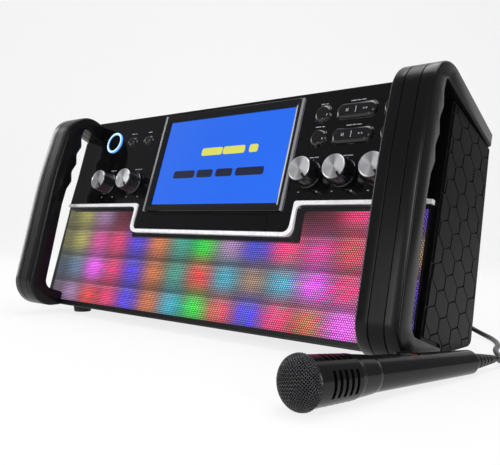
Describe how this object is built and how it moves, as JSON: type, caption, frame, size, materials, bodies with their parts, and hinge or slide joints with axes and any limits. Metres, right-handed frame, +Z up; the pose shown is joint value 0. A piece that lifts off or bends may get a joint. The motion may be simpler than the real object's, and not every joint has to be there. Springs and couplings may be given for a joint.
{
  "type": "karaoke machine",
  "caption": "Karaoke machine with a leaning front, screen, light grille behind a mesh, side handles, disc tray and a wired microphone lying in front",
  "frame": {"origin": "On the floor at the middle of the box round the machine and its microphone", "axes": "+X to the right across the front, +Y from the front to the back, +Z up from the floor"},
  "size_m": [0.4681, 0.3212, 0.2132],
  "materials": {
    "cabinet_black": "satin moulded plastic",
    "cover_black": "moulded plastic with raised hexagons",
    "handle_black": "satin, fine grain",
    "band_black": "textured band",
    "foot_rubber": "soft rubber",
    "panel_gloss": "high gloss",
    "trim_silver": "bright",
    "bezel_gloss": "gloss",
    "window_glass": "clear window",
    "screen_panel": "lit picture area",
    "strip_silver": "satin silver",
    "grille_mesh": "perforated, painted black",
    "board_green": "circuit board",
    "speaker_metal": "black basket and magnet",
    "cone_black": "pressed cone",
    "light_ring": "lit light guide",
    "knob_black": "black skirt with a spun metal face",
    "button_gloss": "gloss",
    "tray_grey": "fine grain",
    "loader_grey": "moulded",
    "pinion_white": "natural plastic",
    "hub_grey": "moulded",
    "supply_brown": "circuit board",
    "inlet_black": "moulded",
    "socket_metal": "nickel",
    "screw_black": "black",
    "mic_mesh": "woven wire basket, dark",
    "mic_gloss": "gloss",
    "switch_grey": "moulded",
    "lead_black": "soft jacket",
    "plug_black": "moulded"
  },
  "bodies": {
    "machine": {"cabinet": "cabinet_black", "rear_housing": "cabinet_black", "left_side_cover": "cover_black", "right_side_cover": "cover_black", "left_handle_inner": "handle_black", "left_handle_band": "band_black", "left_handle_outer": "handle_black", "right_handle_inner": "handle_black", "right_handle_band": "band_black", "right_handle_outer": "handle_black", "feet": "foot_rubber", "control_panel": "panel_gloss", "chrome_trim": "trim_silver", "screen_bezel": "bezel_gloss", "screen_window": "window_glass", "lcd_panel": "screen_panel", "left_screen_strip": "strip_silver", "right_screen_strip": "strip_silver", "mesh_grille": "grille_mesh", "led_board": "board_green", "left_speaker": "speaker_metal", "right_speaker": "speaker_metal", "left_cone": "cone_black", "right_cone": "cone_black", "left_control_board": "board_green", "right_control_board": "board_green", "power_ring": "light_ring", "loader_frame": "loader_grey", "main_board": "board_green", "power_supply": "supply_brown", "power_inlet": "inlet_black", "rear_sockets": "socket_metal", "rear_screws": "screw_black", "mic_head": "mic_mesh", "mic_collar": "mic_gloss", "mic_body": "mic_gloss", "mic_boot": "lead_black", "mic_lead": "lead_black", "lead_coil": "lead_black", "plug_lead": "lead_black", "mic_plug": "plug_black"},
    "tray": {"tray_fascia": "panel_gloss", "disc_tray": "tray_grey"},
    "pinion": {"loader_pinion": "pinion_white"},
    "spindle": {"spindle_hub": "hub_grey"},
    "mic_switch_slider": {"mic_switch": "switch_grey"},
    "echo_knob": {"echo_knob": "knob_black"},
    "balance_knob": {"balance_knob": "knob_black"},
    "treble_knob": {"treble_knob": "knob_black"},
    "bass_knob": {"bass_knob": "knob_black"},
    "volume_knob": {"volume_knob": "knob_black"},
    "power_button": {"power_button": "button_gloss"},
    "input_button": {"input_button": "button_gloss"},
    "lamp_button": {"lamp_button": "button_gloss"},
    "play_button": {"play_button": "button_gloss"},
    "record_button": {"record_button": "button_gloss"},
    "eject_button": {"eject_button": "button_gloss"},
    "stop_button": {"stop_button": "button_gloss"},
    "skip_rocker": {"skip_rocker": "button_gloss"},
    "key_rocker": {"key_rocker": "button_gloss"}
  },
  "joints": [
    {"name": "tray_slide", "type": "slide", "parent": "machine", "child": "tray", "axis": [0, -1, 0], "range_m": [0, 0.128]},
    {"name": "pinion_turn", "type": "hinge", "parent": "machine", "child": "pinion", "pos_m": [0.02356, 0.01642, 0.093], "axis": [0, 0, 1], "range_deg": [-918, 1]},
    {"name": "spindle_turn", "type": "hinge", "parent": "machine", "child": "spindle", "pos_m": [-0.01444, 0.05742, 0.095], "axis": [0, 0, 1], "continuous": true},
    {"name": "echo_knob_turn", "type": "hinge", "parent": "machine", "child": "echo_knob", "pos_m": [-0.16444, -0.00686, 0.13678], "axis": [0, -0.9511, 0.309], "range_deg": [-150, 150]},
    {"name": "balance_knob_turn", "type": "hinge", "parent": "machine", "child": "balance_knob", "pos_m": [-0.12444, -0.00686, 0.13678], "axis": [0, -0.9511, 0.309], "range_deg": [-150, 150]},
    {"name": "treble_knob_turn", "type": "hinge", "parent": "machine", "child": "treble_knob", "pos_m": [0.09056, -0.00686, 0.13678], "axis": [0, -0.9511, 0.309], "range_deg": [-150, 150]},
    {"name": "bass_knob_turn", "type": "hinge", "parent": "machine", "child": "bass_knob", "pos_m": [0.12206, -0.00686, 0.13678], "axis": [0, -0.9511, 0.309], "range_deg": [-150, 150]},
    {"name": "volume_knob_turn", "type": "hinge", "parent": "machine", "child": "volume_knob", "pos_m": [0.15356, -0.00686, 0.13678], "axis": [0, -0.9511, 0.309], "range_deg": [-150, 150]},
    {"name": "power_button_press", "type": "slide", "parent": "machine", "child": "power_button", "axis": [0, 0.9511, -0.309], "range_m": [0, 0.0012], "stiffness_N_per_m": 400, "springref_m": -0.0012},
    {"name": "input_button_press", "type": "slide", "parent": "machine", "child": "input_button", "axis": [0, 0.9511, -0.309], "range_m": [0, 0.0012], "stiffness_N_per_m": 400, "springref_m": -0.0012},
    {"name": "lamp_button_press", "type": "slide", "parent": "machine", "child": "lamp_button", "axis": [0, 0.9511, -0.309], "range_m": [0, 0.0012], "stiffness_N_per_m": 400, "springref_m": -0.0012},
    {"name": "play_button_press", "type": "slide", "parent": "machine", "child": "play_button", "axis": [0, 0.9511, -0.309], "range_m": [0, 0.0012], "stiffness_N_per_m": 400, "springref_m": -0.0012},
    {"name": "record_button_press", "type": "slide", "parent": "machine", "child": "record_button", "axis": [0, 0.9511, -0.309], "range_m": [0, 0.0012], "stiffness_N_per_m": 400, "springref_m": -0.0012},
    {"name": "eject_button_press", "type": "slide", "parent": "machine", "child": "eject_button", "axis": [0, 0.9511, -0.309], "range_m": [0, 0.0012], "stiffness_N_per_m": 400, "springref_m": -0.0012},
    {"name": "stop_button_press", "type": "slide", "parent": "machine", "child": "stop_button", "axis": [0, 0.9511, -0.309], "range_m": [0, 0.0012], "stiffness_N_per_m": 400, "springref_m": -0.0012},
    {"name": "skip_rocker_rock", "type": "hinge", "parent": "machine", "child": "skip_rocker", "pos_m": [0.12206, 0.02536, 0.18288], "axis": [0, 0.309, 0.9511], "range_deg": [-2.2, 2.2], "stiffness_Nm_per_rad": 0.1},
    {"name": "key_rocker_rock", "type": "hinge", "parent": "machine", "child": "key_rocker", "pos_m": [0.12206, 0.01881, 0.16272], "axis": [0, 0.309, 0.9511], "range_deg": [-2.2, 2.2], "stiffness_Nm_per_rad": 0.1},
    {"name": "mic_switch_slide", "type": "slide", "parent": "machine", "child": "mic_switch_slider", "axis": [0.2138, 0.9758, -0.047], "range_m": [0, 0.006]}
  ],
  "couplings": [
    {"joint": "pinion_turn", "follows": "tray_slide", "rad_per_m": -125}
  ]
}
